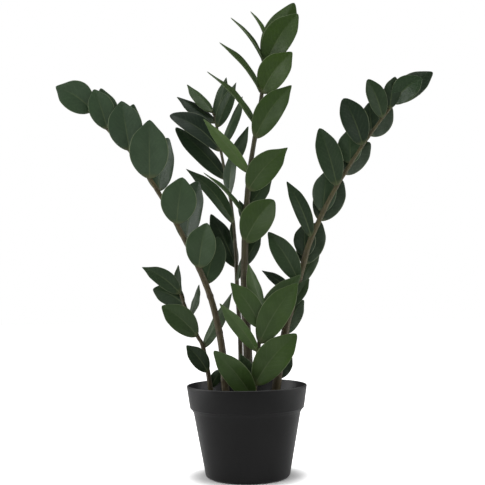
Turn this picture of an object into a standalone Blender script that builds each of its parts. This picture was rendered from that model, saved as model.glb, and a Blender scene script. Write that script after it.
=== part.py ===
"""Potted zz plant: six arching fronds in a black nursery pot.

World frame in metres, +Z up, origin at the middle of the pot's flat underside, +Y away from the viewer.
Every size below is in millimetres and is scaled by MM when a mesh is made.
Each frond is a smooth tapering stem that carries thick oval leaflets on short stalks.
"""

from math import cos, pi, radians, sin

import bmesh
import bpy
from mathutils import Matrix, Vector

MM = 0.001

# Pot: a moulded plastic nursery pot with a stepped band under its rim.
POT_HEIGHT = 90.0
POT_RIM_RADIUS = 59.5
POT_FOOT_RADIUS = 42.0
POT_WALL = 2.0
POT_FLOOR = 2.5
POT_CORNER = 4.0
BAND_HEIGHT = 22.0
BAND_FOOT_RADIUS = 56.5
STEP_HEIGHT = 4.5
STEP_RADIUS = 53.0
POT_SIDES = 48

# Growing mix: fills the pot to a little way under the rim.
SOIL_TOP = 73.0
SOIL_CROWN = 1.5
FIT_GAP = 0.4

# Leaflets: thick leathery blades, slightly folded along the midrib.
BLADE_THICKNESS = 1.0
STALK_WIDTH = 2.4
TIP_WIDTH = 1.4
BLADE_STATIONS = (0.0, 0.12, 0.32, 0.55, 0.78, 0.93, 1.0)
BLADE_PEAK = 0.92
BLADE_FULLNESS = 0.72
FOLD = 0.16
BOW = 0.04
ARCH = 0.08

SIDE_TURN = 60
SIDE_ARCH = 0.02

STEM_SIDES = 8
HOLE_RISE = 20.0
STEPS_PER_SPAN = 2

# Each stem: the points that its middle line runs through, and its radius at its foot and its end.
# Each leaflet: height of its joint on the stem, reach from joint to tip, width, and the turn of its face
# about its own length, in degrees, where 0 faces the front.
# "own" leaflets are separate nodes, and "joined" ones are grown together with their stem.
FRONDS = {
    "left": {
        "points": [
            (-20, -2, 42), (-20, -2, 66), (-21, -2, 84), (-24, -3, 125), (-31, -4, 163), (-41, -5, 194),
            (-58, -7, 231), (-83, -10, 278), (-112, -13, 322), (-134, -15, 344), (-152, -17, 367),
        ],
        "radii": (4.0, 1.4),
        "own": [
            (363, (-35, -8, 23), 27, 0),
            (345, (-12, -8, 38), 22, 0),
            (344, (-8, 6, 43), 23, 0),
            (323, (-7, -10, 48), 30, 0),
            (295, (2, -17, 56), 34, 0),
            (283, (10, 12, 55), 27, 12),
            (250, (7, -12, 45), 31, 0),
            (232, (12, 9, 62), 28, 12),
            (206, (9, -12, 44), 27, 0),
            (190, (13, 5, 47), 24, 0),
        ],
        "joined": [
            (364, (-36, 7, 22), 22, 0),
            (328, (8, 7, 43), 20, 0),
        ],
    },
    "back": {
        "points": [
            (-6, 16, 42), (-6, 16, 66), (-6, 16, 82), (-6, 18, 134), (-8, 20, 175), (-10, 23, 231),
            (-13, 25, 267), (-16, 26, 288), (-22, 28, 319), (-29, 30, 361), (-32, 30, 369),
        ],
        "radii": (2.6, 1.2),
        "own": [
            (369, (-27, 8, 31), 17, 45),
            (358, (-41, 4, 28), 19, 45),
            (353, (21, -5, 46), 15, 40),
            (330, (24, 5, 56), 17, -45),
            (328, (-52, -6, 38), 25, 20),
            (298, (-53, 4, 55), 22, 20),
            (252, (-48, -4, 57), 16, 25),
        ],
        "joined": [
            (361, (12, 6, 46), 15, -25),
            (302, (24, 9, 53), 16, -40),
            (282, (7, -5, 46), 17, -40),
            (230, (-1, 5, 31), 10, 55),
            (207, (-26, 3, 55), 22, 20),
            (193, (6, -4, 26), 8, 45),
        ],
    },
    "centre": {
        "points": [
            (2, -2, 42), (2, -2, 66), (2, -2, 84), (1, -3, 135), (-1, -4, 175), (0, -5, 230),
            (2, -6, 265), (6, -6, 304), (11, -7, 334), (18, -8, 374), (23, -8, 411), (25, -8, 438),
        ],
        "radii": (5.0, 1.2),
        "own": [
            (412, (30, 5, 61), 28, 0),
            (408, (33, -8, 50), 27, 0),
            (410, (-34, -2, 47), 18, 70),
            (381, (-42, -2, 51), 18, 70),
            (380, (30, -14, 38), 27, 0),
            (347, (-49, -2, 56), 18, 70),
            (335, (37, -10, 51), 24, 0),
            (300, (-46, -10, 53), 16, -45),
            (283, (40, -9, 41), 25, 0),
            (231, (29, -12, 41), 29, 0),
        ],
        "joined": [
            (434, (-16, -2, 29), 12, 70),
            (262, (26, 6, 32), 16, 0),
            (257, (-42, -3, 44), 14, 70),
            (250, (-6, 8, 24), 8, 0),
            (208, (17, 5, 30), 12, 0),
        ],
    },
    "right": {
        "points": [
            (29, 2, 42), (29, 2, 66), (29, 2, 84), (39, 2, 142), (51, 0, 184), (58, -2, 209), (66, -4, 234),
            (85, -6, 273), (103, -8, 303), (127, -10, 338), (153, -12, 371),
        ],
        "radii": (4.5, 1.5),
        "own": [
            (369, (39, 4, 30), 24, 0),
            (367, (26, -10, 24), 24, -15),
            (353, (-15, -10, 37), 19, 0),
            (336, (24, 8, 30), 28, 0),
            (326, (-19, -8, 46), 26, 0),
            (298, (28, 12, 33), 26, 0),
            (286, (-17, -8, 57), 24, 0),
            (308, (0, 3, 35), 24, 0),
            (252, (25, 13, 42), 30, 0),
            (260, (5, 3, 42), 24, 0),
            (235, (-24, -6, 56), 16, 0),
            (209, (19, 12, 43), 28, 0),
            (187, (25, 14, 37), 16, 0),
            (192, (-30, -7, 49), 22, 0),
            (139, (20, 6, 34), 20, 0),
        ],
        "joined": [
            (362, (6, -2, 32), 17, 0),
            (339, (-1, 6, 31), 18, 0),
            (216, (0, 3, 33), 22, 0),
            (176, (-32, 5, 27), 11, 0),
            (197, (-6, 6, 21), 8, 60),
            (167, (18, -3, 27), 13, 0),
            (95, (15, 5, 21), 15, 0),
        ],
    },
    "lower_left": {
        "points": [
            (-34, 10, 46), (-34, 10, 66), (-36, 10, 83), (-43, 10, 125), (-49, 11, 138), (-57, 11, 157),
            (-66, 12, 181),
        ],
        "radii": (2.6, 1.4),
        "own": [
            (181, (-38, -6, 27), 17, 0),
            (170, (-32, 4, 16), 22, 0),
            (138, (-35, -8, 31), 24, 0),
            (126, (30, 6, 55), 18, -40),
            (102, (-21, -4, 27), 17, 0),
        ],
        "joined": [
            (179, (-3, 4, 31), 12, 55),
            (157, (10, 5, 33), 14, -50),
            (86, (13, 4, 19), 11, 0),
        ],
    },
    "front": {
        "points": [
            (7, -22, 42), (7, -22, 66), (7, -22, 87), (9, -22, 102), (13, -24, 137), (17, -25, 158),
            (19, -26, 168),
        ],
        "radii": (2.6, 1.3),
        "own": [
            (147, (-29, -6, 44), 20, 0),
            (124, (-37, -9, 47), 16, -40),
            (132, (38, -5, 58), 26, 0),
            (92, (41, -7, 49), 28, 0),
            (77, (-38, -14, 49), 22, 0),
        ],
        "joined": [
            (161, (-15, 4, 48), 16, 50),
            (146, (40, 12, 52), 22, 0),
            (84, (-13, 5, 38), 14, 0),
        ],
    },
}


def material(name, colour, roughness):
    """A plain Principled material in the part's colour."""
    made = bpy.data.materials.new(name)
    made.use_nodes = True
    shader = made.node_tree.nodes["Principled BSDF"]
    shader.inputs["Base Color"].default_value = (*colour, 1.0)
    shader.inputs["Roughness"].default_value = roughness
    shader.inputs["Metallic"].default_value = 0.0
    return made


def place(name, mesh, finish):
    """Scales a mesh drawn in millimetres to metres and puts it in the scene."""
    mesh.transform(Matrix.Scale(MM, 4))
    mesh.materials.append(finish)
    obj = bpy.data.objects.new(name, mesh)
    bpy.context.scene.collection.objects.link(obj)
    return obj


def guide(obj):
    """Marks an object as a cutter or a shape to be joined, which is no piece of its own."""
    obj.hide_render = True
    obj.display_type = "WIRE"


def combine(obj, other, operation):
    """Adds a Boolean modifier."""
    boolean = obj.modifiers.new(other.name, "BOOLEAN")
    boolean.operation = operation
    boolean.solver = "EXACT"
    boolean.object = other


def turned(name, profile, finish):
    """A closed solid turned from (radius, height) points that start and end on the axis."""
    shape = bmesh.new()
    points = [shape.verts.new((radius, 0, height)) for radius, height in profile]
    lines = [shape.edges.new(pair) for pair in zip(points, points[1:])]
    bmesh.ops.spin(
        shape, geom=points + lines, cent=(0, 0, 0), axis=(0, 0, 1), angle=2 * pi, steps=POT_SIDES
    )
    bmesh.ops.remove_doubles(shape, verts=shape.verts, dist=0.001)
    bmesh.ops.recalc_face_normals(shape, faces=shape.faces)
    mesh = bpy.data.meshes.new(name)
    shape.to_mesh(mesh)
    shape.free()
    mesh.shade_smooth()
    mesh.set_sharp_from_angle(angle=radians(30))
    return place(name, mesh, finish)


def inner_radius(height):
    """Radius of the pot's inner wall at a height on its plain lower cone."""
    rise = (height - POT_CORNER) / (POT_HEIGHT - BAND_HEIGHT - STEP_HEIGHT - POT_CORNER)
    return POT_FOOT_RADIUS + rise * (STEP_RADIUS - POT_FOOT_RADIUS) - POT_WALL


def pot(finish):
    """The pot: flat foot, plain cone, sloping step and the wider rim band, one wall thick throughout."""
    corner = [
        (POT_FOOT_RADIUS - POT_CORNER * (1 - sin(turn)), POT_CORNER * (1 - cos(turn)))
        for turn in (0, pi / 6, pi / 3, pi / 2)
    ]
    band_foot = POT_HEIGHT - BAND_HEIGHT
    step_foot = band_foot - STEP_HEIGHT
    lip = POT_WALL / 2
    outside = [
        (0, 0), *corner, (STEP_RADIUS, step_foot), (BAND_FOOT_RADIUS, band_foot),
        (POT_RIM_RADIUS, POT_HEIGHT - lip), (POT_RIM_RADIUS - lip / 2, POT_HEIGHT),
    ]
    inside = [
        (POT_RIM_RADIUS - 1.5 * lip, POT_HEIGHT), (POT_RIM_RADIUS - POT_WALL, POT_HEIGHT - lip),
        (BAND_FOOT_RADIUS - POT_WALL, band_foot + lip), (STEP_RADIUS - POT_WALL, step_foot + lip),
        (inner_radius(POT_CORNER), POT_CORNER + POT_FLOOR), (inner_radius(POT_CORNER) - POT_CORNER, POT_FLOOR),
        (0, POT_FLOOR),
    ]
    return turned("pot", outside + inside, finish)


def soil(finish):
    """The growing mix, a little clear of the pot's wall and floor, and slightly crowned on top."""
    lip = POT_WALL / 2
    band_foot = POT_HEIGHT - BAND_HEIGHT
    side = [
        (inner_radius(POT_CORNER) - POT_CORNER, POT_FLOOR), (inner_radius(POT_CORNER), POT_CORNER + POT_FLOOR),
        (STEP_RADIUS - POT_WALL, band_foot - STEP_HEIGHT + lip), (BAND_FOOT_RADIUS - POT_WALL, band_foot + lip),
    ]
    clear = [(radius - FIT_GAP, height) for radius, height in side[1:]]
    foot = POT_FLOOR + FIT_GAP
    profile = [
        (0, foot), (side[0][0] - FIT_GAP, foot), *clear, (clear[-1][0], SOIL_TOP), (0, SOIL_TOP + SOIL_CROWN),
    ]
    return turned("soil", profile, finish)


def smooth_path(points):
    """Points along a Catmull-Rom curve that runs through the given ones."""
    knots = [Vector(point) for point in points]
    knots = [2 * knots[0] - knots[1], *knots, 2 * knots[-1] - knots[-2]]
    path = []
    for before, start, end, after in zip(knots, knots[1:], knots[2:], knots[3:]):
        for step in range(STEPS_PER_SPAN):
            t = step / STEPS_PER_SPAN
            path.append(
                0.5 * (2 * start + (end - before) * t + (2 * before - 5 * start + 4 * end - after) * t**2
                       + (3 * start - before - 3 * end + after) * t**3)
            )
    path.append(knots[-2])
    return path


def radius_at(height, frond):
    """Stem radius at a height: it tapers evenly from the soil to the end."""
    foot, end = frond["radii"]
    top = frond["points"][-1][2]
    rise = max(0.0, (height - SOIL_TOP) / (top - SOIL_TOP))
    return foot + min(rise, 1.0) * (end - foot)


def tube(name, path, radii, finish):
    """A closed round tube along a path, with flat ends."""
    shape = bmesh.new()
    rings = []
    side = Vector((0, -1, 0))
    for index, (middle, radius) in enumerate(zip(path, radii)):
        along = (path[min(index + 1, len(path) - 1)] - path[max(index - 1, 0)]).normalized()
        side = (side - side.dot(along) * along).normalized()
        other = along.cross(side)
        turns = [2 * pi * corner / STEM_SIDES for corner in range(STEM_SIDES)]
        rings.append([shape.verts.new(middle + radius * (side * cos(a) + other * sin(a))) for a in turns])
    for low, high in zip(rings, rings[1:]):
        for corner in range(STEM_SIDES):
            following = (corner + 1) % STEM_SIDES
            shape.faces.new((low[corner], low[following], high[following], high[corner]))
    shape.faces.new(reversed(rings[0]))
    shape.faces.new(rings[-1])
    mesh = bpy.data.meshes.new(name)
    shape.to_mesh(mesh)
    shape.free()
    mesh.shade_smooth()
    return place(name, mesh, finish)


def joint(height, frond, path):
    """Where a leaflet leaves the stem: the stem's middle and direction at a height."""
    for low, high in zip(path, path[1:]):
        if low.z <= height <= high.z:
            share = (height - low.z) / (high.z - low.z)
            return low.lerp(high, share), (high - low).normalized()
    return path[-1].copy(), (path[-1] - path[-2]).normalized()


def half_width(station, width):
    """Half the blade's width at a share of its length: stalk, oval blade, short pointed tip."""
    narrow = STALK_WIDTH if station < 0.5 else TIP_WIDTH
    oval = max(0.0, sin(pi * station**BLADE_PEAK)) ** BLADE_FULLNESS
    return max(narrow, width * oval) / 2


def leaflet(name, row, frond, path, joined, finish):
    """One leaflet: a folded, slightly bowed oval sheet given its thickness by Solidify."""
    height, reach, width, turn = row
    middle, stem_way = joint(height, frond, path)
    tip = middle + Vector(reach)
    way = Vector(reach).normalized()
    behind = reach[1] > 0
    seat = way if abs(turn) > SIDE_TURN else Vector((0, 1 if behind else -1, 0))
    outward = (seat - seat.dot(stem_way) * stem_way).normalized()
    clear = 0.0 if joined else radius_at(height, frond) + FIT_GAP + BLADE_THICKNESS / 2
    start = middle + outward * clear
    along = (tip - start).normalized()
    length = (tip - start).length
    facing = Vector((0, -1, 0))
    facing = (facing - facing.dot(along) * along).normalized()
    facing.rotate(Matrix.Rotation(radians(turn), 3, along))
    across = facing.cross(along)
    upward = Vector((0, 0, 1)) - along.z * along
    top_side = -facing if behind else facing
    arch = SIDE_ARCH if abs(turn) > SIDE_TURN else ARCH
    shape = bmesh.new()
    rows = []
    for station in BLADE_STATIONS:
        half = half_width(station, width)
        bulge = length * sin(pi * station)
        spine = start + along * length * station + bulge * (BOW * top_side + arch * upward)
        edge_lift = FOLD * half * top_side
        rows.append([
            shape.verts.new(spine - across * half + edge_lift),
            shape.verts.new(spine),
            shape.verts.new(spine + across * half + edge_lift),
        ])
    for low, high in zip(rows, rows[1:]):
        shape.faces.new((low[0], low[1], high[1], high[0]))
        shape.faces.new((low[1], low[2], high[2], high[1]))
    mesh = bpy.data.meshes.new(name)
    shape.to_mesh(mesh)
    shape.free()
    mesh.shade_smooth()
    obj = place(name, mesh, finish)
    thick = obj.modifiers.new("thickness", "SOLIDIFY")
    thick.thickness = BLADE_THICKNESS * MM
    thick.offset = 0.0
    return obj


def build():
    for obj in list(bpy.data.objects):
        bpy.data.objects.remove(obj)
    plastic = material("pot_plastic", (0.018, 0.018, 0.018), 0.45)
    mix = material("growing_mix", (0.02, 0.014, 0.01), 0.95)
    green = material("leaflet_green", (0.035, 0.075, 0.03), 0.4)
    bark = material("stem_olive", (0.12, 0.09, 0.045), 0.5)
    pot(plastic)
    ground = soil(mix)
    for side, frond in FRONDS.items():
        path = smooth_path(frond["points"])
        radii = [radius_at(point.z, frond) for point in path]
        stem = tube(f"{side}_stem", path, radii, bark)
        buried = [point for point in path if point.z < SOIL_TOP + HOLE_RISE]
        foot = buried[0] - Vector((0, 0, FIT_GAP))
        hole = tube(
            f"{side}_stem_hole", [foot, *buried[1:]], [radius_at(0, frond) + FIT_GAP] * len(buried), mix
        )
        guide(hole)
        combine(ground, hole, "DIFFERENCE")
        for number, row in enumerate(frond["own"], start=1):
            leaflet(f"{side}_leaflet_{number:02d}", row, frond, path, False, green)
        for number, row in enumerate(frond["joined"], start=1):
            small = leaflet(f"{side}_small_leaflet_{number:02d}", row, frond, path, True, green)
            guide(small)
            combine(stem, small, "UNION")


build()
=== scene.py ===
"""Looks of the potted zz plant: six arching fronds of thick, leathery leaflets in a black nursery pot.

Sizes are in millimetres, and every finished mesh is scaled to metres. +Y points away from the viewer.
"""

import random
from math import cos, exp, pi, radians, sin

import bmesh
import bpy
from mathutils import Matrix, Vector


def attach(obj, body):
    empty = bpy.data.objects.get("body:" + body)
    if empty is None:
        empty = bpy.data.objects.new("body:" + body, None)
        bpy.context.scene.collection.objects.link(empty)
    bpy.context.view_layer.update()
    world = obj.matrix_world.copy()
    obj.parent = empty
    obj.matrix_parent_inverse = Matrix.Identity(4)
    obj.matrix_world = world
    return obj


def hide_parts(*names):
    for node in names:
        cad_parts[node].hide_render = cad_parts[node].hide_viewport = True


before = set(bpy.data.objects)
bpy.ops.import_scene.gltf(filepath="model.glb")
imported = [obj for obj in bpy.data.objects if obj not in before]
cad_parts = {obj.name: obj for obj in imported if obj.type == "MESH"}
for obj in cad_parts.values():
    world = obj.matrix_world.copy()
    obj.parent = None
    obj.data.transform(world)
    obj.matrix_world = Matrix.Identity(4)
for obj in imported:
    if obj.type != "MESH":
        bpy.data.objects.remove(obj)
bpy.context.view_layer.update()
scene = bpy.context.scene


# ---- Pot ----------------------------------------------------------------------------------------
# A nursery pot moulded in one piece from black polypropylene: plain cone, a sloping step, and the wider
# band that stiffens the rim. The wall is turned from its section, with a rounded lip and foot.

MM = 0.001
POT_HEIGHT = 90.0
POT_WALL = 2.0
POT_FLOOR = 2.5
POT_RIM_RADIUS = 59.5
POT_FOOT_RADIUS = 42.0
POT_CORNER = 4.0
BAND_FOOT = 68.0
BAND_FOOT_RADIUS = 56.5
BAND_EASE = 1.2
STEP_FOOT = 63.5
STEP_RADIUS = 53.0
POT_SIDES = 160


def arc(middle, radius, start, end, parts):
    """Section points (radius from the axis, height) along a round stretch, angles in degrees."""
    turns = [radians(start + (end - start) * part / parts) for part in range(parts + 1)]
    return [(middle[0] + radius * cos(turn), middle[1] + radius * sin(turn)) for turn in turns]


def turned(name, section, sides):
    """A closed solid turned about the pot's axis from a section that starts and ends on it."""
    shape = bmesh.new()
    points = [shape.verts.new((radius, 0, height)) for radius, height in section]
    lines = [shape.edges.new(pair) for pair in zip(points, points[1:])]
    bmesh.ops.spin(shape, geom=points + lines, cent=(0, 0, 0), axis=(0, 0, 1), angle=2 * pi, steps=sides)
    bmesh.ops.remove_doubles(shape, verts=shape.verts, dist=0.001)
    bmesh.ops.recalc_face_normals(shape, faces=shape.faces)
    mesh = bpy.data.meshes.new(name)
    shape.to_mesh(mesh)
    shape.free()
    mesh.transform(Matrix.Scale(MM, 4))
    mesh.shade_smooth()
    mesh.set_sharp_from_angle(angle=radians(40))
    piece = bpy.data.objects.new(name, mesh)
    scene.collection.objects.link(piece)
    return piece


def add(tree, kind, *inputs, **settings):
    """A node with its settings and its inputs in order: a socket is linked, and a plain value is set."""
    made = tree.nodes.new(kind)
    for setting, value in settings.items():
        setattr(made, setting, value)
    for socket, value in zip(made.inputs, inputs):
        connect(tree, socket, value)
    return made


def connect(tree, socket, value):
    """Links an output to an input, or sets the input to a plain value; None leaves it as it is."""
    if isinstance(value, bpy.types.NodeSocket):
        tree.links.new(value, socket)
    elif value is not None:
        socket.default_value = value


def calc(tree, operation, *values):
    """The result of one arithmetic node."""
    return add(tree, "ShaderNodeMath", *values, operation=operation).outputs[0]


def ramp(tree, value, low, high, start=0.0, end=1.0):
    """A value carried smoothly from start to end while another goes from low to high."""
    made = add(tree, "ShaderNodeMapRange", value, low, high, start, end, interpolation_type="SMOOTHSTEP")
    return made.outputs[0]


def tinted(tree, share, first, second, mode="MIX"):
    """One colour laid over another by a share."""
    made = add(tree, "ShaderNodeMix", data_type="RGBA", blend_type=mode)
    for index, value in ((0, share), (6, first), (7, second)):
        connect(tree, made.inputs[index], value)
    return made.outputs[2]


def interface(tree, names, side):
    """Adds number sockets to a node group, by name."""
    for name in names:
        tree.interface.new_socket(name, in_out=side, socket_type="NodeSocketFloat")


def mottle_group():
    """Cloudy variation over the surface: broad patches with a fine grain on top, from 0 to 1."""
    tree = bpy.data.node_groups.new("cloudy_surface", "ShaderNodeTree")
    interface(tree, ("Patch size", "Grain size", "Grain share"), "INPUT")
    interface(tree, ("Cloud", "Grain"), "OUTPUT")
    given = tree.nodes.new("NodeGroupInput").outputs
    place = tree.nodes.new("ShaderNodeTexCoord").outputs["Object"]
    often = calc(tree, "DIVIDE", 1.0, given["Patch size"])
    patches = add(tree, "ShaderNodeTexNoise", place, None, often, 3.0)
    often = calc(tree, "DIVIDE", 1.0, given["Grain size"])
    grain = add(tree, "ShaderNodeTexNoise", place, None, often, 2.0)
    fine = ramp(tree, grain.outputs[0], 0.25, 0.75)
    broad = ramp(tree, patches.outputs[0], 0.3, 0.7)
    both = add(tree, "ShaderNodeMix", given["Grain share"], None, broad, fine)
    add(tree, "NodeGroupOutput", both.outputs[0], fine)
    return tree


def mottle(tree, patch, grain, share):
    """The cloudy variation placed in a material, with its own sizes in metres."""
    made = tree.nodes.new("ShaderNodeGroup")
    made.node_tree = cloudy
    for socket, value in zip(made.inputs, (patch, grain, share)):
        socket.default_value = value
    return made.outputs["Cloud"], made.outputs["Grain"]


def finish(name, roughness, specular):
    """A new material with its Principled shader, and that shader's inputs."""
    made = bpy.data.materials.new(name)
    made.use_nodes = True
    shader = made.node_tree.nodes["Principled BSDF"].inputs
    shader["Roughness"].default_value = roughness
    shader["Specular IOR Level"].default_value = specular
    return made, made.node_tree, shader


def raised(tree, height, depth, shader):
    """Small relief of the surface, in metres, fed to a shader's normal."""
    bump = tree.nodes.new("ShaderNodeBump")
    connect(tree, bump.inputs["Distance"], depth)
    connect(tree, bump.inputs["Height"], height)
    connect(tree, shader["Normal"], bump.outputs[0])


cloudy = mottle_group()
black_plastic, tree, shader = finish("black_plastic", 0.5, 0.2)
cloud, grain = mottle(tree, 0.035, 0.0007, 0.25)
place = tree.nodes.new("ShaderNodeTexCoord").outputs["Object"]
height = add(tree, "ShaderNodeSeparateXYZ", place).outputs[2]
# The top millimetre of the rim is painted lighter grey: a painted highlight along the lip.
painted_lip_highlight = calc(tree, "MULTIPLY", ramp(tree, height, (POT_HEIGHT - 0.9) * MM, POT_HEIGHT * MM), 0.5)
plain = tinted(tree, cloud, (0.0045, 0.0045, 0.0047, 1), (0.0068, 0.0068, 0.007, 1))
connect(tree, shader["Base Color"], tinted(tree, painted_lip_highlight, plain, (0.10, 0.10, 0.10, 1)))
connect(tree, shader["Roughness"], ramp(tree, cloud, 0.0, 1.0, 0.34, 0.42))
raised(tree, grain, 0.00004, shader)

outside = [
    (0, 0),
    *arc((POT_FOOT_RADIUS - POT_CORNER, POT_CORNER), POT_CORNER, -90, -13, 10),
    (STEP_RADIUS - 0.6, STEP_FOOT - 3.0),
    (STEP_RADIUS, STEP_FOOT),
    (STEP_RADIUS + 0.7, STEP_FOOT + 1.2),
    (BAND_FOOT_RADIUS - BAND_EASE, BAND_FOOT - 0.7),
    *arc((BAND_FOOT_RADIUS - BAND_EASE, BAND_FOOT + 0.5), BAND_EASE, -60, -8, 5),
    *arc((POT_RIM_RADIUS - POT_WALL / 2, POT_HEIGHT - POT_WALL / 2), POT_WALL / 2, -8, 180, 12),
]
inside = [
    (BAND_FOOT_RADIUS - POT_WALL, BAND_FOOT + 1),
    (STEP_RADIUS - POT_WALL, STEP_FOOT + 1),
    *arc((POT_FOOT_RADIUS - POT_WALL - POT_CORNER, POT_CORNER + POT_FLOOR), POT_CORNER, -13, -90, 6),
    (0, POT_FLOOR),
]
pot = turned("nursery_pot", outside + inside, POT_SIDES)
pot.data.materials.append(black_plastic)
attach(pot, "root")
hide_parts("pot")


# ---- Growing mix --------------------------------------------------------------------------------
# Dark peat with bark crumbs, filled to a little way under the rim and pressed around the stems.
# The bed is a low uneven mound, and its crumbs are scattered over it.

SOIL_TOP = 73.0
SOIL_GAP = 0.4
SOIL_RINGS = 26
SOIL_SIDES = 96
SOIL_RADIUS = BAND_FOOT_RADIUS - POT_WALL + 0.3 - SOIL_GAP
CRUMB_SIZES = (0.6, 2.6)
CRUMB_SHARE = 0.16
CRUMB_MARGIN = 2.5
SWELL_COUNT = 26
CROWN = 0.9
SWELL_HEIGHT = 0.5
SWELL_LIMIT = 1.2


def grow(tree, name, mesh, values):
    """Runs a Geometry Nodes tree on a start mesh and keeps the result as a plain mesh, in metres."""
    piece = bpy.data.objects.new(name, mesh)
    scene.collection.objects.link(piece)
    growth = piece.modifiers.new("growth", "NODES")
    growth.node_group = tree
    for socket in tree.interface.items_tree:
        if socket.in_out == "INPUT" and socket.name in values:
            growth[socket.identifier] = values[socket.name]
    depsgraph = bpy.context.evaluated_depsgraph_get()
    result = bpy.data.meshes.new_from_object(
        piece.evaluated_get(depsgraph), preserve_all_data_layers=True, depsgraph=depsgraph
    )
    piece.modifiers.remove(growth)
    piece.data = result
    result.name = name
    result.transform(Matrix.Scale(MM, 4))
    return piece


def growth_tree(name, numbers, others=()):
    """A Geometry Nodes tree with a geometry passing through and named inputs with their defaults."""
    made = bpy.data.node_groups.new(name, "GeometryNodeTree")
    made.interface.new_socket("Geometry", in_out="INPUT", socket_type="NodeSocketGeometry")
    for label, value in numbers.items():
        made.interface.new_socket(label, in_out="INPUT", socket_type="NodeSocketFloat").default_value = value
    for label, kind in others:
        made.interface.new_socket(label, in_out="INPUT", socket_type=kind)
    made.interface.new_socket("Geometry", in_out="OUTPUT", socket_type="NodeSocketGeometry")
    return made, made.nodes.new("NodeGroupInput").outputs


def close_tree(tree, geometry, finish_input):
    """Ends a tree: instances made real, smooth faces, its material, and the output."""
    real = add(tree, "GeometryNodeRealizeInstances", geometry).outputs[0]
    smooth = add(tree, "GeometryNodeSetShadeSmooth", real, None, True).outputs[0]
    done = add(tree, "GeometryNodeSetMaterial", smooth, None, finish_input).outputs[0]
    add(tree, "NodeGroupOutput", done)


def crumb_tree():
    """Crumbs scattered over the bed: small uneven lumps of many sizes, each turned its own way."""
    tree, given = growth_tree(
        "soil_crumbs", {"Smallest": 0.6, "Largest": 2.6, "Per square": 0.1},
        (("Seed", "NodeSocketInt"), ("Finish", "NodeSocketMaterial")),
    )
    scatter = add(tree, "GeometryNodeDistributePointsOnFaces", given["Geometry"], distribute_method="RANDOM")
    connect(tree, scatter.inputs["Density"], given["Per square"])
    connect(tree, scatter.inputs["Seed"], given["Seed"])
    lump = add(tree, "GeometryNodeMeshIcoSphere", 1.0, 2).outputs[0]
    rough = add(tree, "ShaderNodeTexNoise", None, None, 1.4, 1.0).outputs["Color"]
    shift = add(tree, "ShaderNodeVectorMath", rough, (0.5, 0.5, 0.5), operation="SUBTRACT").outputs[0]
    lump = add(tree, "GeometryNodeSetPosition", lump, None, None, shift).outputs[0]
    share = add(tree, "FunctionNodeRandomValue", data_type="FLOAT")
    connect(tree, share.inputs[8], given["Seed"])
    small = calc(tree, "POWER", share.outputs[1], 3.0)
    size = add(tree, "ShaderNodeMix", small, None, given["Smallest"], given["Largest"]).outputs[0]
    sides = add(tree, "FunctionNodeRandomValue", (0.55, 0.55, 0.4), (1.0, 1.0, 0.8), data_type="FLOAT_VECTOR")
    scale = add(tree, "ShaderNodeVectorMath", sides.outputs[0], operation="SCALE")
    connect(tree, scale.inputs["Scale"], size)
    turn = add(tree, "FunctionNodeRandomValue", (0.0, 0.0, 0.0), (pi, pi, 2 * pi), data_type="FLOAT_VECTOR")
    crumbs = add(
        tree, "GeometryNodeInstanceOnPoints", scatter.outputs[0], None, lump, None, None,
        turn.outputs[0], scale.outputs[0],
    )
    close_tree(tree, crumbs.outputs[0], given["Finish"])
    return tree


peat, tree, shader = finish("peat_mix", 0.92, 0.25)
cloud, grain = mottle(tree, 0.006, 0.0009, 0.5)
crumbled = tinted(tree, cloud, (0.006, 0.0045, 0.0035, 1), (0.032, 0.021, 0.013, 1))
connect(tree, shader["Base Color"], crumbled)
connect(tree, shader["Roughness"], ramp(tree, grain, 0.0, 1.0, 0.85, 1.0))
raised(tree, grain, 0.0004, shader)

rng = random.Random(11)
swells = [
    (rng.uniform(-45, 45), rng.uniform(-45, 45), rng.uniform(8, 20), rng.uniform(-0.9, 1.1))
    for _ in range(SWELL_COUNT)
]


def bed_height(x, y):
    """Height of the bed: a low crown with soft swells, level at the wall."""
    reach = min(1.0, (x * x + y * y) ** 0.5 / SOIL_RADIUS)
    swell = sum(
        tall * exp(-((x - at_x) ** 2 + (y - at_y) ** 2) / wide**2) for at_x, at_y, wide, tall in swells
    )
    swell = max(-SWELL_LIMIT, min(SWELL_LIMIT, swell))
    return SOIL_TOP + (1 - reach**2) * (CROWN + SWELL_HEIGHT * swell)


def circle(radius, level=None):
    """The bed's vertices around the axis at a radius, at a level or else on the bed's own surface."""
    turns = [2 * pi * side / SOIL_SIDES for side in range(SOIL_SIDES)]
    places = [(radius * cos(turn), radius * sin(turn)) for turn in turns]
    return [bed_shape.verts.new((x, y, bed_height(x, y) if level is None else level)) for x, y in places]


bed_shape = bmesh.new()
rings = [circle(SOIL_RADIUS * ring / SOIL_RINGS) for ring in range(1, SOIL_RINGS + 1)]
crown = bed_shape.verts.new((0, 0, bed_height(0, 0)))
bed_foot = POT_CORNER + POT_FLOOR + SOIL_GAP
rings.append(circle(STEP_RADIUS - POT_WALL - SOIL_GAP, STEP_FOOT + 1))
rings.append(circle(POT_FOOT_RADIUS - POT_WALL - SOIL_GAP, bed_foot))
foot = bed_shape.verts.new((0, 0, bed_foot))
for side in range(SOIL_SIDES):
    after = (side + 1) % SOIL_SIDES
    bed_shape.faces.new((crown, rings[0][side], rings[0][after]))
    for inner, outer in zip(rings, rings[1:]):
        bed_shape.faces.new((inner[side], outer[side], outer[after], inner[after]))
    bed_shape.faces.new((rings[-1][after], rings[-1][side], foot))
bed_mesh = bpy.data.meshes.new("soil_bed")
bed_shape.to_mesh(bed_mesh)
bed_shape.free()
bed_mesh.materials.append(peat)
bed_mesh.shade_smooth()

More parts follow.
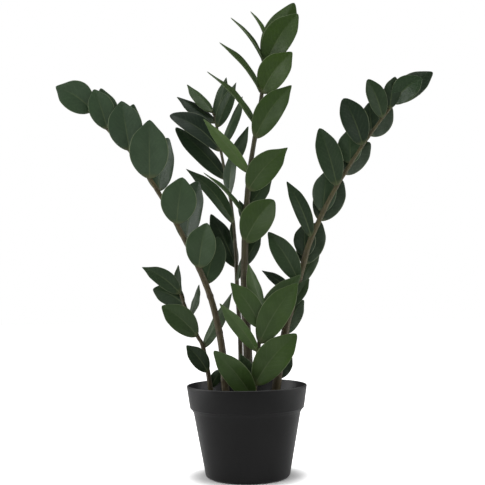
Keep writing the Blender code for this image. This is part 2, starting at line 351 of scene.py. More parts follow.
crumb_shape = bmesh.new()
crumb_shape.from_mesh(bed_mesh)
lost = [
    face for face in crumb_shape.faces
    if face.calc_center_median().z < SOIL_TOP - 0.5
    or face.calc_center_median().xy.length > SOIL_RADIUS - CRUMB_MARGIN
]
bmesh.ops.delete(crumb_shape, geom=lost, context="FACES")
crumb_mesh = bpy.data.meshes.new("crumb_bed")
crumb_shape.to_mesh(crumb_mesh)
crumb_shape.free()
bed_mesh.transform(Matrix.Scale(MM, 4))
soil_bed = bpy.data.objects.new("soil_bed", bed_mesh)
scene.collection.objects.link(soil_bed)
soil_crumbs = grow(
    crumb_tree(), "soil_crumbs", crumb_mesh,
    {
        "Smallest": CRUMB_SIZES[0], "Largest": CRUMB_SIZES[1], "Per square": CRUMB_SHARE,
        "Seed": 5, "Finish": peat,
    },
)
for piece in (soil_bed, soil_crumbs):
    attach(piece, "root")
    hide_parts("soil")


# ---- Stems --------------------------------------------------------------------------------------
# Fleshy stems, thick at the soil and tapering along a smooth arch, with a ring where each lower sheath has
# dropped off and a slight swelling at every leaflet. Their skin is olive, browner towards the soil.

# Each stem: the points that its middle line runs through, its radius at its foot and its end, the heights
# of its sheath rings, and how warm and how light its skin is.
STEMS = {
    "left": {
        "points": [
            (-20, -2, 42), (-20, -2, 66), (-21, -2, 84), (-24, -3, 125), (-31, -4, 163), (-41, -5, 194),
            (-58, -7, 231), (-83, -10, 278), (-112, -13, 322), (-134, -15, 344), (-152, -17, 367),
        ],
        "radii": (4.0, 1.4), "sheaths": (96, 142, 178), "warmth": 0.9, "light": 0.5,
    },
    "back": {
        "points": [
            (-6, 16, 42), (-6, 16, 66), (-6, 16, 82), (-6, 18, 134), (-8, 20, 175), (-10, 23, 231),
            (-13, 25, 267), (-16, 26, 288), (-22, 28, 319), (-29, 30, 361), (-32, 30, 369),
        ],
        "radii": (2.6, 1.2), "sheaths": (104, 151), "warmth": 0.4, "light": 0.35,
    },
    "centre": {
        "points": [
            (2, -2, 42), (2, -2, 66), (2, -2, 84), (1, -3, 135), (-1, -4, 175), (0, -5, 230),
            (2, -6, 265), (6, -6, 304), (11, -7, 334), (18, -8, 374), (23, -8, 411), (25, -8, 438),
        ],
        "radii": (5.0, 1.2), "sheaths": (98, 150, 196), "warmth": 0.35, "light": 0.3,
    },
    "right": {
        "points": [
            (29, 2, 42), (29, 2, 66), (29, 2, 84), (39, 2, 142), (51, 0, 184), (58, -2, 209), (66, -4, 234),
            (85, -6, 273), (103, -8, 303), (127, -10, 338), (153, -12, 371),
        ],
        "radii": (4.5, 1.1), "sheaths": (102, 131, 160), "warmth": 0.5, "light": 0.7,
    },
    "lower_left": {
        "points": [
            (-34, 10, 46), (-34, 10, 66), (-36, 10, 83), (-43, 10, 125), (-49, 11, 138), (-57, 11, 157),
            (-66, 12, 181),
        ],
        "radii": (2.6, 1.4), "sheaths": (112,), "warmth": 0.6, "light": 0.5,
    },
    "front": {
        "points": [
            (7, -22, 42), (7, -22, 66), (7, -22, 87), (9, -22, 102), (13, -24, 137), (17, -25, 158),
            (19, -26, 168),
        ],
        "radii": (2.6, 1.3), "sheaths": (108,), "warmth": 0.5, "light": 0.6,
    },
}
PATH_STEPS = 24
SHEATH_SWELL = 0.45
SHEATH_LENGTH = 1.6
JOINT_SWELL = 0.15
JOINT_LENGTH = 4.0
SCAR_RISE = 1.5
SCAR_LENGTH = 1.2


def smooth_path(points, steps):
    """Points along a Catmull-Rom curve that runs through the given ones."""
    knots = [Vector(point) for point in points]
    knots = [2 * knots[0] - knots[1], *knots, 2 * knots[-1] - knots[-2]]
    path = []
    for before, start, end, after in zip(knots, knots[1:], knots[2:], knots[3:]):
        for step in range(steps):
            t = step / steps
            path.append(
                0.5 * (2 * start + (end - before) * t + (2 * before - 5 * start + 4 * end - after) * t**2
                       + (3 * start - before - 3 * end + after) * t**3)
            )
    path.append(knots[-2])
    return path


def stem_tree():
    """A round skin around a middle line: it tapers, swells where marked, closes at its end, and is uneven."""
    tree, given = growth_tree(
        "stem_skin", {"Foot radius": 4.0, "End radius": 1.4, "Unevenness": 0.25},
        (("Sides", "NodeSocketInt"), ("Finish", "NodeSocketMaterial")),
    )
    line = add(tree, "GeometryNodeMeshToCurve", given["Geometry"]).outputs[0]
    share = add(tree, "GeometryNodeInputNamedAttribute", "rise", data_type="FLOAT").outputs[0]
    swell = add(tree, "GeometryNodeInputNamedAttribute", "swell", data_type="FLOAT").outputs[0]
    taper = add(tree, "ShaderNodeMix", share, None, given["Foot radius"], given["End radius"]).outputs[0]
    along = tree.nodes.new("GeometryNodeSplineParameter")
    left = calc(tree, "SUBTRACT", 1.0, along.outputs["Factor"])
    closing = calc(tree, "POWER", ramp(tree, left, -0.0001, 0.006), 0.6)
    girth = calc(tree, "MULTIPLY", calc(tree, "ADD", taper, swell), closing)
    ring = add(tree, "GeometryNodeCurvePrimitiveCircle", given["Sides"])
    ring.inputs["Radius"].default_value = 1.0
    skin = add(tree, "GeometryNodeCurveToMesh", line, ring.outputs[0], girth, True).outputs[0]
    noise = add(tree, "ShaderNodeTexNoise", None, None, 0.16, 2.0).outputs[0]
    push = calc(tree, "MULTIPLY", calc(tree, "SUBTRACT", noise, 0.5), given["Unevenness"])
    normal = tree.nodes.new("GeometryNodeInputNormal").outputs[0]
    offset = add(tree, "ShaderNodeVectorMath", normal, operation="SCALE")
    connect(tree, offset.inputs["Scale"], push)
    skin = add(tree, "GeometryNodeSetPosition", skin, None, None, offset.outputs[0]).outputs[0]
    close_tree(tree, skin, given["Finish"])
    return tree


def stem_finish(name, warmth, light):
    """Stem skin: brown at the soil, olive above, with fine streaks, pale flecks and darker rings."""
    made, tree, shader = finish(name, 0.5, 0.4)
    cloud, grain = mottle(tree, 0.012, 0.0012, 0.45)
    place = tree.nodes.new("ShaderNodeTexCoord").outputs["Object"]
    stretched = add(tree, "ShaderNodeVectorMath", place, (1.0, 1.0, 0.12), operation="MULTIPLY").outputs[0]
    streaks = add(tree, "ShaderNodeTexNoise", stretched, None, 900.0, 2.0).outputs[0]
    streaks = ramp(tree, streaks, 0.3, 0.7)
    height = add(tree, "ShaderNodeSeparateXYZ", place).outputs[2]
    rise = ramp(tree, height, 0.08, 0.30)
    brown = Vector((0.036, 0.027, 0.014)).lerp(Vector((0.082, 0.058, 0.026)), light)
    olive = Vector((0.030, 0.034, 0.012)).lerp(Vector((0.076, 0.073, 0.024)), light)
    olive += warmth * Vector((0.012, 0.0, -0.003))
    body = tinted(tree, rise, (*brown, 1), (*olive, 1))
    body = tinted(tree, calc(tree, "MULTIPLY", streaks, 0.7), body, (*(brown * 0.5), 1))
    body = tinted(tree, calc(tree, "MULTIPLY", cloud, 0.35), body, (*(olive * 1.45), 1))
    marks = add(tree, "ShaderNodeAttribute", attribute_name="ring").outputs["Fac"]
    body = tinted(tree, calc(tree, "MULTIPLY", marks, 0.6), body, (*(brown * 0.45), 1))
    connect(tree, shader["Base Color"], body)
    connect(tree, shader["Roughness"], ramp(tree, grain, 0.0, 1.0, 0.42, 0.6))
    raised(tree, calc(tree, "ADD", streaks, calc(tree, "MULTIPLY", grain, 0.5)), 0.0002, shader)
    return made


def stem(name, stem_data, joints):
    """One stem, with its swellings marked on its middle line before the skin is made."""
    path = smooth_path(stem_data["points"], PATH_STEPS)
    mesh = bpy.data.meshes.new(f"{name}_line")
    mesh.from_pydata(path, [(low, low + 1) for low in range(len(path) - 1)], [])
    top = path[-1].z
    rise, swell, ring = [], [], []
    for point in path:
        sheath = sum(exp(-(((point.z - level) / SHEATH_LENGTH) ** 2)) for level in stem_data["sheaths"])
        leaf = sum(exp(-(((point.z - level) / JOINT_LENGTH) ** 2)) for level in joints)
        rise.append(min(1.0, max(0.0, (point.z - SOIL_TOP) / (top - SOIL_TOP))))
        swell.append(SHEATH_SWELL * min(1.0, sheath) + JOINT_SWELL * min(1.0, leaf))
        scar = sum(exp(-(((point.z - level - SCAR_RISE) / SCAR_LENGTH) ** 2)) for level in joints)
        ring.append(min(1.0, sheath + 0.6 * scar))
    for label, values in (("rise", rise), ("swell", swell), ("ring", ring)):
        mesh.attributes.new(label, "FLOAT", "POINT").data.foreach_set("value", values)
    skin = stem_finish(f"{name}_skin", stem_data["warmth"], stem_data["light"])
    foot, end = stem_data["radii"]
    piece = grow(
        stem_skin, name, mesh,
        {"Foot radius": foot, "End radius": end, "Unevenness": 0.3, "Sides": 24, "Finish": skin},
    )
    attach(piece, "root")
    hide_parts(name)
    return piece


stem_skin = stem_tree()


# ---- Leaflets -----------------------------------------------------------------------------------
# Thick oval blades on short round stalks: glossy green above, paler and duller below, with a sunk midrib,
# faint side veins and a thin pale margin, partly a painted edge highlight. Each grows from its stem, turned
# and bowed in its own way.

BLADE = {"Thickness": 1.1, "Stalk": 2.6, "Groove": 0.35, "Rib": 0.55}
BOW = 0.04
ARCH = 0.08
FOLD = 0.24
SIDE_TURN = 60
SIDE_ARCH = 0.02
START_DEPTH = 0.55
OWN_TURN = 9


def blade_tree():
    """One leaflet in millimetres: foot at the origin, tip along +Y, upper face towards +Z."""
    tree, given = growth_tree(
        "leaflet_blade",
        {"Length": 50.0, "Width": 26.0, **BLADE, "Peak": 0.92, "Fullness": 0.7, "Point": 0.3, "Fold": 0.16,
         "Ripple": 0.5, "Phase": 0.0, "Twist": 0.0, "Recurve": 0.0},
        (("Bend", "NodeSocketVector"), ("Finish", "NodeSocketMaterial")),
    )

    def times(*values):
        result = values[0]
        for value in values[1:]:
            result = calc(tree, "MULTIPLY", result, value)
        return result

    def total(*values):
        result = values[0]
        for value in values[1:]:
            result = calc(tree, "ADD", result, value)
        return result

    def near(value, reach):
        """1 where a value is 0, falling off to 0 over its reach."""
        share = calc(tree, "DIVIDE", value, reach)
        return calc(tree, "EXPONENT", times(share, share, -1.0))

    sheet = add(tree, "GeometryNodeMeshGrid", 1.0, 1.0, 41, 44).outputs[0]
    grid = add(tree, "ShaderNodeSeparateXYZ", tree.nodes.new("GeometryNodeInputPosition").outputs[0])
    around = calc(tree, "ADD", grid.outputs[0], 0.5)
    even = calc(tree, "ADD", grid.outputs[1], 0.5)
    eased = calc(tree, "SUBTRACT", 0.5, times(0.5, calc(tree, "COSINE", times(even, pi))))
    along = times(0.5, total(even, eased))
    turn = calc(tree, "COSINE", times(around, 2 * pi))
    size = calc(tree, "POWER", calc(tree, "ABSOLUTE", turn), 1.25)
    across = times(size, calc(tree, "SIGN", turn), -1.0)
    upper = calc(tree, "LESS_THAN", around, 0.5)
    side = calc(tree, "SUBTRACT", times(2.0, upper), 1.0)

    bulge = calc(tree, "SINE", times(pi, along))
    swell = calc(tree, "SINE", times(pi, calc(tree, "POWER", along, given["Peak"])))
    swell = calc(tree, "POWER", calc(tree, "MAXIMUM", swell, 0.0), given["Fullness"])
    pointed = calc(tree, "SUBTRACT", 1.0, times(given["Point"], ramp(tree, along, 0.72, 1.0)))
    oval = times(0.5, given["Width"], swell, pointed)
    stalk = times(0.5, given["Stalk"], ramp(tree, along, 0.05, 0.4, 1.0, 0.0))
    cap = calc(tree, "POWER", ramp(tree, along, 0.0, 0.012), 0.5)
    half = times(calc(tree, "SMOOTH_MAX", oval, stalk, 1.2), cap)
    half = times(half, ramp(tree, along, 1.0, 0.985))

    square = times(across, across)
    flat = calc(tree, "MAXIMUM", 0.0, calc(tree, "SUBTRACT", 1.0, times(square, square)))
    flat = calc(tree, "SQRT", flat)
    round_ = calc(tree, "SQRT", calc(tree, "MAXIMUM", 0.0, calc(tree, "SUBTRACT", 1.0, square)))
    thin = calc(tree, "MINIMUM", 1.0, calc(tree, "DIVIDE", half, 1.2))
    deep = times(0.5, given["Thickness"], flat, thin)
    neck = times(0.42, given["Stalk"], round_, ramp(tree, along, 0.03, 0.2, 1.0, 0.0), cap)
    deep = calc(tree, "MAXIMUM", deep, neck)

    offset = times(across, half)
    fade = calc(tree, "SUBTRACT", 1.0, along)
    groove = times(given["Groove"], near(offset, 0.9), ramp(tree, along, 0.08, 0.25), fade, upper)
    rib = times(given["Rib"], near(offset, 1.1), fade, calc(tree, "SUBTRACT", 1.0, upper))
    away = calc(tree, "SQRT", total(times(offset, offset), 0.8))
    lift = times(given["Fold"], calc(tree, "SUBTRACT", away, 0.894))
    wave = times(2 * pi, total(times(along, 2.2), given["Phase"], times(across, 0.3)))
    ripple = times(given["Ripple"], square, calc(tree, "SINE", wave), bulge)
    back = calc(tree, "MAXIMUM", 0.0, calc(tree, "SUBTRACT", along, 0.55))
    recurve = times(given["Recurve"], given["Length"], back, back)
    rise = total(times(side, deep), lift, ripple, times(-1.0, total(groove, rib)))

    angle = times(given["Twist"], calc(tree, "SUBTRACT", along, 0.3))
    sine, cosine = calc(tree, "SINE", angle), calc(tree, "COSINE", angle)
    x = total(times(offset, cosine), times(rise, sine))
    z = calc(tree, "SUBTRACT", times(rise, cosine), times(offset, sine))
    arch = add(tree, "ShaderNodeVectorMath", given["Bend"], operation="SCALE")
    connect(tree, arch.inputs["Scale"], times(given["Length"], bulge))
    reached = times(given["Length"], along)
    offsets = add(tree, "ShaderNodeCombineXYZ", x, reached, total(z, recurve)).outputs[0]
    place = add(tree, "ShaderNodeVectorMath", offsets, arch.outputs[0], operation="ADD").outputs[0]

    shape = sheet
    for label, vector in (
        ("blade", add(tree, "ShaderNodeCombineXYZ", across, along, upper).outputs[0]),
        ("run", add(tree, "ShaderNodeCombineXYZ", offset, reached, half).outputs[0]),
    ):
        store = add(
            tree, "GeometryNodeStoreNamedAttribute", shape, None, label,
            data_type="FLOAT_VECTOR", domain="POINT",
        )
        connect(tree, store.inputs["Value"], vector)
        shape = store.outputs[0]
    shape = add(tree, "GeometryNodeSetPosition", shape, None, place).outputs[0]
    shape = add(tree, "GeometryNodeMergeByDistance", shape, None, 0.003).outputs[0]
    close_tree(tree, shape, given["Finish"])
    return tree


def leaflet_finish():
    """Leaf skin. Each leaflet's own "look" gives its tone with painted light and shadow in it, its warmth
    and its gloss. Its thin pale margin is partly a painted edge highlight.
    """
    made, tree, shader = finish("leaflet_skin", 0.42, 0.28)
    blade = add(tree, "ShaderNodeAttribute", attribute_name="blade").outputs["Vector"]
    run = add(tree, "ShaderNodeAttribute", attribute_name="run").outputs["Vector"]
    look = add(tree, "ShaderNodeAttribute", attribute_name="look").outputs["Vector"]
    across, along, upper = add(tree, "ShaderNodeSeparateXYZ", blade).outputs
    offset, distance, _ = add(tree, "ShaderNodeSeparateXYZ", run).outputs
    painted_light_and_tone, warmth, gloss = add(tree, "ShaderNodeSeparateXYZ", look).outputs
    edge = calc(tree, "ABSOLUTE", across)
    cloud, grain = mottle(tree, 0.011, 0.0008, 0.3)

    dark = tinted(tree, warmth, (0.008, 0.020, 0.012, 1), (0.011, 0.026, 0.005, 1))
    middle = tinted(tree, warmth, (0.042, 0.074, 0.039, 1), (0.046, 0.088, 0.011, 1))
    bright = tinted(tree, warmth, (0.12, 0.17, 0.10, 1), (0.14, 0.235, 0.045, 1))
    # The green runs from dark through middle to bright by each leaflet's tone: partly its own colour, partly
    # painted shade for leaflets in shadow and painted light for well-lit ones.
    green = tinted(tree, ramp(tree, painted_light_and_tone, 0.0, 0.5), dark, middle)
    green = tinted(tree, ramp(tree, painted_light_and_tone, 0.5, 1.0), green, bright)
    clouded = calc(tree, "MULTIPLY", cloud, 0.5)
    green = tinted(tree, clouded, green, tinted(tree, 1.0, green, (0.55, 0.62, 0.55, 1), "MULTIPLY"))

    slant = calc(tree, "SUBTRACT", distance, calc(tree, "MULTIPLY", calc(tree, "ABSOLUTE", offset), 1.1))
    strayed = calc(tree, "ADD", slant, calc(tree, "MULTIPLY", cloud, 5.0))
    wave = calc(tree, "FRACT", calc(tree, "DIVIDE", strayed, 5.5))
    ridge = calc(tree, "ABSOLUTE", calc(tree, "SUBTRACT", calc(tree, "MULTIPLY", wave, 2.0), 1.0))
    fading = calc(tree, "MULTIPLY", ramp(tree, edge, 0.95, 0.55), ramp(tree, along, 0.08, 0.2))
    vein = calc(tree, "MULTIPLY", ramp(tree, ridge, 0.72, 1.0), fading)
    green = tinted(tree, calc(tree, "MULTIPLY", vein, 0.10), green, (0.10, 0.15, 0.07, 1))

    near = calc(tree, "MULTIPLY", offset, offset)
    rib = calc(tree, "EXPONENT", calc(tree, "MULTIPLY", near, -3.5))
    rib = calc(tree, "MULTIPLY", rib, ramp(tree, along, 1.0, 0.25, 0.0, 0.55))
    green = tinted(tree, rib, green, (0.105, 0.14, 0.062, 1))
    # The thin pale margin is partly the leaf's own paler edge and partly a painted highlight along the edge.
    margin_and_edge_highlight = calc(tree, "MULTIPLY", ramp(tree, edge, 0.94, 0.99), 0.6)
    green = tinted(tree, margin_and_edge_highlight, green, (0.19, 0.23, 0.12, 1))
    below = calc(tree, "MULTIPLY", calc(tree, "SUBTRACT", 1.0, upper), 0.5)
    green = tinted(tree, below, green, (0.055, 0.078, 0.045, 1))
    green = tinted(tree, ramp(tree, along, 0.12, 0.02, 0.0, 0.7), green, (0.085, 0.095, 0.038, 1))
    connect(tree, shader["Base Color"], green)

    dull = ramp(tree, cloud, 0.0, 1.0, 0.0, 0.12)
    base = ramp(tree, gloss, 0.0, 1.0, 0.5, 0.22)
    rough = calc(tree, "ADD", base, dull)
    rough = calc(tree, "ADD", rough, calc(tree, "MULTIPLY", calc(tree, "SUBTRACT", 1.0, upper), 0.12))
    connect(tree, shader["Roughness"], rough)
    relief = calc(tree, "ADD", calc(tree, "MULTIPLY", vein, -0.3), calc(tree, "MULTIPLY", grain, 0.25))
    raised(tree, relief, 0.00014, shader)
    return made


def joint(height, path):
    """Where a leaflet leaves the stem: the stem's middle and direction at a height."""
    for low, high in zip(path, path[1:]):
        if low.z <= height <= high.z:
            share = (height - low.z) / (high.z - low.z)
            return low.lerp(high, share), (high - low).normalized()
    return path[-1].copy(), (path[-1] - path[-2]).normalized()


def leaflet(name, side, row, breadth, nodes):
    """One leaflet, set on its stem by the same rule as the frame's own, but started inside the stem."""
    height, reach, width, turn, painted_light_and_tone, warmth, gloss, point = row
    stem_data = STEMS[side]
    path = smooth_path(stem_data["points"], 2)
    middle, stem_way = joint(height, path)
    tip = middle + Vector(reach)
    behind = reach[1] > 0
    seat = Vector(reach).normalized() if abs(turn) > SIDE_TURN else Vector((0, 1 if behind else -1, 0))
    outward = (seat - seat.dot(stem_way) * stem_way).normalized()
    foot, end = stem_data["radii"]
    rise = min(1.0, max(0.0, (height - SOIL_TOP) / (path[-1].z - SOIL_TOP)))
    start = middle + outward * START_DEPTH * (foot + rise * (end - foot))
    along = (tip - start).normalized()
    length = (tip - start).length
    facing = Vector((0, -1, 0))
    facing = (facing - facing.dot(along) * along).normalized()
    own = random.Random(name)
    facing.rotate(Matrix.Rotation(radians(turn + own.uniform(-OWN_TURN, OWN_TURN)), 3, along))
    right = along.cross(facing)
    top_side = -1 if behind else 1
    upward = Vector((0, 0, 1)) - along.z * along
    arch = SIDE_ARCH if abs(turn) > SIDE_TURN else ARCH
    bend = BOW * top_side * facing + arch * upward
    values = {
        **BLADE, "Length": length, "Width": width * breadth, "Fold": FOLD * top_side,
        "Peak": 1.1 - 0.32 * point, "Fullness": 0.52 + 0.2 * point, "Point": 0.1 + 0.45 * point,
        "Ripple": own.uniform(0.15, 0.55), "Phase": own.random(), "Twist": own.uniform(-0.22, 0.22),
        "Recurve": own.uniform(-0.12, 0.02) * top_side,
        "Bend": (bend.dot(right), bend.dot(along), bend.dot(facing)),
        "Finish": leaflet_skin,
    }
    piece = grow(blade, name, bpy.data.meshes.new(f"{name}_start"), values)
    look = piece.data.attributes.new("look", "FLOAT_VECTOR", "POINT")
    look.data.foreach_set("vector", [painted_light_and_tone, warmth, gloss] * len(piece.data.vertices))
    axes = Matrix((right, along, facing)).transposed().to_4x4()
    piece.data.transform(Matrix.Translation(start * MM) @ axes)
    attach(piece, "root")
    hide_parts(*nodes)
    return piece


def frond(side, breadth, own, small):
    """A stem with its leaflets: the large ones, which are nodes of the frame, and the small ones between."""
    stem(f"{side}_stem", STEMS[side], [row[0] for row in own + small])
    for number, row in enumerate(own, start=1):
        leaflet(f"{side}_blade_{number:02d}", side, row, breadth, [f"{side}_leaflet_{number:02d}"])
    for number, row in enumerate(small, start=1):
        leaflet(f"{side}_small_blade_{number:02d}", side, row, breadth, [f"{side}_stem"])


blade = blade_tree()
leaflet_skin = leaflet_finish()


# ---- Left frond ---------------------------------------------------------------------------------
# The long frond that leans out to the left. Its broad leaflets overlap like shingles, dark and bluish.
# A row is: joint height, reach from joint to tip, width, turn in degrees, then shade (own tone with painted
# light and shade laid in), warmth, gloss and how pointed its tip is.

frond(
    "left",
    breadth=1.14,
    own=[
        (363, (-35, -8, 23), 27, 0, 0.51, 0.1, 0.45, 0.60),
        (345, (-12, -8, 38), 22, 0, 0.47, 0.1, 0.5, 0.40),
        (344, (-8, 6, 43), 23, 0, 0.43, 0.1, 0.5, 0.50),
        (323, (-7, -10, 48), 30, 0, 0.41, 0.05, 0.5, 0.45),
        (295, (2, -17, 56), 34, 0, 0.46, 0.1, 0.5, 0.50),
        (283, (10, 12, 55), 31, 36, 0.56, 0.0, 1.0, 0.30),
        (250, (7, -12, 45), 31, 0, 0.47, 0.2, 0.5, 0.35),
        (232, (12, 9, 62), 32, 34, 0.52, 0.0, 1.0, 0.30),
        (206, (9, -12, 44), 27, 0, 0.35, 0.3, 0.4, 0.35),
        (190, (13, 5, 47), 24, 0, 0.39, 0.2, 0.4, 0.20),
    ],
    small=[
        (364, (-36, 7, 22), 22, 0, 0.34, 0.1, 0.4, 0.40),
        (328, (8, 7, 43), 20, 0, 0.34, 0.1, 0.4, 0.40),
    ],
)


# ---- Back frond ---------------------------------------------------------------------------------
# A thin straight frond behind the middle one, with narrow leaflets that are mostly seen half from the side.
# Its darker leaflets carry painted shade, as they stand behind the middle frond.

frond(
    "back",
    breadth=1.05,
    own=[
        (369, (-27, 8, 31), 17, 45, 0.50, 0.5, 0.4, 0.70),
        (358, (-41, 4, 28), 19, 45, 0.16, 0.2, 0.4, 0.80),
        (353, (21, -5, 46), 15, 40, 0.33, 0.3, 0.4, 0.90),
        (330, (24, 5, 56), 17, -45, 0.33, 0.3, 0.4, 0.80),
        (328, (-52, -6, 38), 25, 20, 0.03, 0.3, 0.2, 0.00),
        (298, (-53, 4, 55), 22, 20, 0.18, 0.3, 0.45, 0.10),
        (252, (-48, -4, 57), 16, 25, 0.28, 0.4, 0.4, 0.80),
    ],
    small=[
        (361, (12, 6, 46), 15, -25, 0.28, 0.3, 0.4, 0.70),
        (302, (24, 9, 53), 16, -40, 0.33, 0.3, 0.4, 0.60),
        (282, (7, -5, 46), 17, -40, 0.28, 0.3, 0.4, 0.80),
        (230, (-1, 5, 31), 10, 55, 0.30, 0.4, 0.4, 0.80),
        (207, (-26, 3, 55), 22, 20, 0.16, 0.4, 0.4, 0.40),
        (193, (6, -4, 26), 8, 45, 0.30, 0.4, 0.4, 0.80),
    ],
)


# ---- Centre frond -------------------------------------------------------------------------------
# The tallest and thickest frond. Its right-hand leaflets face the front, fresh green; its left-hand ones
# are seen from their edges.

frond(
    "centre",
    breadth=1.12,
    own=[
        (412, (30, 5, 61), 28, 0, 0.34, 0.9, 0.45, 0.30),
        (408, (33, -8, 50), 27, 0, 0.36, 0.9, 0.5, 0.35),
        (410, (-34, -2, 47), 18, 70, 0.58, 0.7, 0.4, 0.80),
        (381, (-42, -2, 51), 18, 70, 0.61, 0.7, 0.4, 0.80),
        (380, (30, -14, 38), 27, 0, 0.38, 1.0, 0.55, 0.50),
        (347, (-49, -2, 56), 18, 70, 0.56, 0.7, 0.4, 0.80),
        (335, (37, -10, 51), 24, 0, 0.36, 0.8, 0.45, 0.60),
        (300, (-46, -10, 53), 16, -45, 0.68, 0.8, 0.4, 0.70),
        (283, (40, -9, 41), 25, 0, 0.36, 0.8, 0.45, 0.85),
        (231, (29, -12, 41), 29, 0, 0.33, 0.85, 0.45, 0.15),
    ],
    small=[
        (434, (-16, -2, 29), 12, 70, 0.61, 0.7, 0.4, 0.80),
        (262, (26, 6, 32), 16, 0, 0.38, 0.3, 0.4, 0.60),
        (257, (-42, -3, 44), 14, 70, 0.56, 0.6, 0.4, 0.80),
        (250, (-6, 8, 24), 8, 0, 0.21, 0.4, 0.4, 0.60),
        (208, (17, 5, 30), 12, 0, 0.21, 0.4, 0.4, 0.60),
    ],
)


# ---- Right frond --------------------------------------------------------------------------------
# The long frond that leans out to the right, on a lighter stem, with rounder and deeper green leaflets.

frond(
    "right",
    breadth=1.02,
    own=[
        (369, (39, 4, 30), 24, 0, 0.12, 0.4, 0.45, 0.35),
        (367, (26, -10, 24), 24, -15, 0.30, 0.2, 0.95, 0.20),
        (353, (-15, -10, 37), 19, 0, 0.23, 0.4, 0.5, 0.15),
        (336, (24, 8, 30), 28, 0, 0.18, 0.35, 0.45, 0.20),
        (326, (-19, -8, 46), 26, 0, 0.1, 0.35, 0.5, 0.10),
        (298, (28, 12, 33), 26, 0, 0.18, 0.35, 0.45, 0.20),
        (286, (-17, -8, 57), 24, 0, 0.22, 0.35, 0.5, 0.25),
        (308, (0, 3, 35), 24, 0, 0.4, 0.2, 0.4, 0.30),
        (252, (25, 13, 42), 30, 0, 0.17, 0.35, 0.45, 0.20),
        (260, (5, 3, 42), 24, 0, 0.32, 0.2, 0.4, 0.30),
        (235, (-24, -6, 56), 16, 0, 0.17, 0.4, 0.5, 0.50),
        (209, (19, 12, 43), 28, 0, 0.18, 0.35, 0.4, 0.25),
        (187, (25, 14, 37), 16, 0, 0.28, 0.4, 0.4, 0.60),
        (192, (-30, -7, 49), 22, 0, 0.26, 0.4, 0.45, 0.40),
        (139, (20, 6, 34), 20, 0, 0.20, 0.5, 0.45, 0.50),
    ],
    small=[
        (362, (6, -2, 32), 17, 0, 0.16, 0.4, 0.4, 0.40),
        (339, (-1, 6, 31), 18, 0, 0.16, 0.4, 0.4, 0.30),
        (216, (0, 3, 33), 22, 0, 0.16, 0.4, 0.4, 0.30),
        (176, (-32, 5, 27), 11, 0, 0.10, 0.4, 0.4, 0.70),
        (197, (-6, 6, 21), 8, 60, 0.45, 0.6, 0.4, 0.60),
        (167, (18, -3, 27), 13, 0, 0.25, 0.5, 0.4, 0.60),
        (95, (15, 5, 21), 15, 0, 0.12, 0.5, 0.4, 0.40),
    ],
)


# ---- Lower left frond ---------------------------------------------------------------------------
# A short young frond at the left, in the shade of the others; its dark leaflets are partly painted shade.

frond(
    "lower_left",
    breadth=1.05,
    own=[
        (181, (-38, -6, 27), 17, 0, 0.24, 0.4, 0.45, 0.80),
        (170, (-32, 4, 16), 22, 0, 0.20, 0.4, 0.45, 0.30),
        (138, (-35, -8, 31), 24, 0, 0.32, 0.6, 0.45, 0.35),
        (126, (30, 6, 55), 18, -40, 0.30, 0.5, 0.4, 0.80),
        (102, (-21, -4, 27), 17, 0, 0.08, 0.7, 0.4, 0.50),
    ],
    small=[
        (179, (-3, 4, 31), 12, 55, 0.38, 0.2, 0.4, 0.60),
        (157, (10, 5, 33), 14, -50, 0.26, 0.4, 0.4, 0.80),
        (86, (13, 4, 19), 11, 0, 0.18, 0.5, 0.4, 0.50),
    ],
)


# ---- Front frond --------------------------------------------------------------------------------
# The shortest frond, nearest the viewer, with the freshest leaflets low over the rim.

frond(
    "front",
    breadth=1.1,
    own=[
        (147, (-29, -6, 44), 20, 0, 0.43, 0.7, 0.45, 0.60),
        (124, (-37, -9, 47), 16, -40, 0.59, 0.7, 0.45, 0.70),
        (132, (38, -5, 58), 26, 0, 0.43, 0.75, 0.45, 0.50),
        (92, (41, -7, 49), 28, 0, 0.43, 0.8, 0.5, 0.35),
        (77, (-38, -14, 49), 22, 0, 0.51, 0.7, 0.5, 0.35),
    ],
    small=[
        (161, (-15, 4, 48), 16, 50, 0.53, 0.7, 0.4, 0.70),
        (146, (40, 12, 52), 22, 0, 0.35, 0.6, 0.4, 0.60),
        (84, (-13, 5, 38), 14, 0, 0.21, 0.6, 0.4, 0.70),
    ],
)


# ---- Floor, light and camera --------------------------------------------------------------------
# A plain white floor that keeps only a thin shade around the pot's foot, two large soft boxes in front,
# one overhead and two at the sides, and the camera a little above the pot's rim.

FOCAL = 66.8
CAMERA_PLACE = (-0.0024, -0.900, 0.185)
CAMERA_PITCH = 2.94
CAMERA_ROLL = 0.75
SHADE_REACH = (0.042, 0.075)
ROOM_LIGHT = 0.12

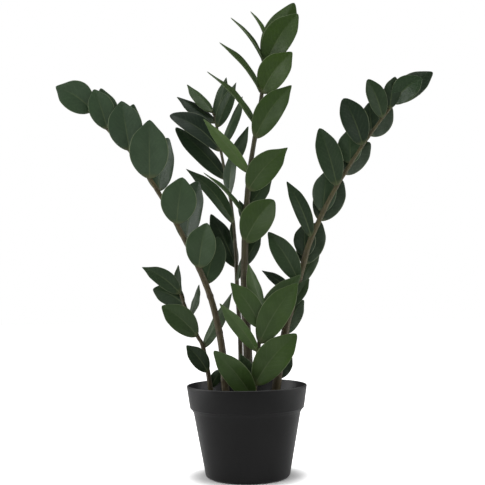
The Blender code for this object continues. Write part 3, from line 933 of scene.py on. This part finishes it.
floor_mesh = bpy.data.meshes.new("floor")
floor_mesh.from_pydata([(-4, -4, 0), (4, -4, 0), (4, 4, 0), (-4, 4, 0)], [], [(0, 1, 2, 3)])
floor = bpy.data.objects.new("floor", floor_mesh)
scene.collection.objects.link(floor)
floor_paint, tree, shader = finish("floor_paint", 0.9, 0.1)
cloud, grain = mottle(tree, 0.4, 0.01, 0.1)
connect(tree, shader["Base Color"], tinted(tree, cloud, (0.93, 0.93, 0.93, 1), (0.96, 0.96, 0.96, 1)))
place = tree.nodes.new("ShaderNodeTexCoord").outputs["Object"]
distance = add(tree, "ShaderNodeVectorMath", place, operation="LENGTH").outputs["Value"]
glow = ramp(tree, distance, *SHADE_REACH)
seen = tree.nodes.new("ShaderNodeLightPath").outputs["Is Camera Ray"]
shader["Emission Color"].default_value = (1, 1, 1, 1)
connect(tree, shader["Emission Strength"], calc(tree, "MULTIPLY", glow, seen))
floor_mesh.materials.append(floor_paint)

world = bpy.data.worlds.new("studio")
world.use_nodes = True
scene.world = world
tree = world.node_tree
tree.nodes.clear()
seen = tree.nodes.new("ShaderNodeLightPath").outputs["Is Camera Ray"]
paper = add(tree, "ShaderNodeBackground", (1, 1, 1, 1), 1.0).outputs[0]
room = add(tree, "ShaderNodeBackground", (1, 1, 1, 1), ROOM_LIGHT).outputs[0]
add(tree, "ShaderNodeOutputWorld", add(tree, "ShaderNodeMixShader", seen, room, paper).outputs[0])


def soft_box(name, place, target, size, watts):
    """A large square light that faces a target."""
    lamp = bpy.data.lights.new(name, "AREA")
    lamp.energy = watts
    lamp.size = size
    box = bpy.data.objects.new(name, lamp)
    box.location = place
    box.rotation_euler = (Vector(target) - Vector(place)).to_track_quat("-Z", "Y").to_euler()
    scene.collection.objects.link(box)


soft_box("front_left_box", (-1.0, -1.1, 0.9), (0, 0, 0.25), 0.6, 6)
soft_box("front_right_box", (1.1, -0.9, 0.6), (0, 0, 0.25), 0.6, 2.2)
soft_box("overhead_box", (0.1, -0.2, 1.4), (0, 0, 0.2), 1.0, 7)
soft_box("left_box", (-1.2, 0.1, 0.45), (0, 0, 0.2), 0.9, 12)
soft_box("right_box", (1.2, 0.05, 0.45), (0, 0, 0.2), 0.9, 8.5)

lens = bpy.data.cameras.new("camera")
lens.lens = FOCAL
lens.sensor_width = 36.0
camera = bpy.data.objects.new("camera", lens)
camera.matrix_world = (
    Matrix.Translation(CAMERA_PLACE)
    @ Matrix.Rotation(radians(90 + CAMERA_PITCH), 4, "X")
    @ Matrix.Rotation(radians(-CAMERA_ROLL), 4, "Z")
)
scene.collection.objects.link(camera)
scene.camera = camera
scene.view_settings.view_transform = "Standard"
